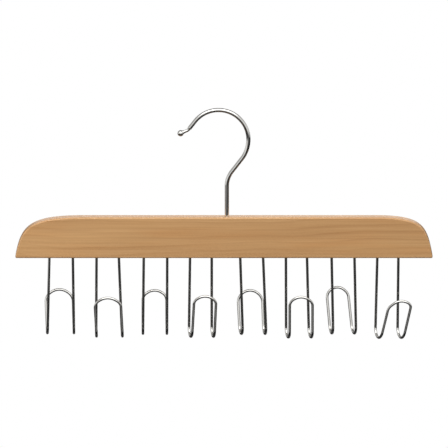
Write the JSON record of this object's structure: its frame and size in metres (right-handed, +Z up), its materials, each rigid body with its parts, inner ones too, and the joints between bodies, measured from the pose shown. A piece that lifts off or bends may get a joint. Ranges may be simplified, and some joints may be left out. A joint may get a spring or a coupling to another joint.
{
  "type": "tie hanger",
  "caption": "Wooden bar hanger on a chrome swivel hook, with a row of bent wire double hooks below that hold ties, scarves or belts to front and back.",
  "frame": {"origin": "inner top of the swivel hook's crown, where the hanger rests on its rod", "axes": "+X along the bar, to the right seen from the front; +Y from the front to the back; +Z up"},
  "size_m": [0.35, 0.0386, 0.1958],
  "materials": {
    "lacquered_wood": "pale hardwood with fine straight grain under a clear satin lacquer",
    "chrome_wire": "bright chrome plating on drawn steel wire",
    "zinc_steel": "bright zinc-plated steel"
  },
  "bodies": {
    "hook": {"swivel_hook": "chrome_wire", "hook_nut": "zinc_steel"},
    "bar": {"wooden_bar": "lacquered_wood", "hook_washer": "zinc_steel", "tie_hook_1": "chrome_wire", "tie_hook_2": "chrome_wire", "tie_hook_3": "chrome_wire", "tie_hook_4": "chrome_wire", "tie_hook_5": "chrome_wire", "tie_hook_6": "chrome_wire", "tie_hook_7": "chrome_wire", "tie_hook_8": "chrome_wire"}
  },
  "joints": [
    {"name": "swivel", "type": "hinge", "parent": "hook", "child": "bar", "pos_m": [0.007, 0, -0.0888], "axis": [0, 0, 1], "continuous": true}
  ]
}
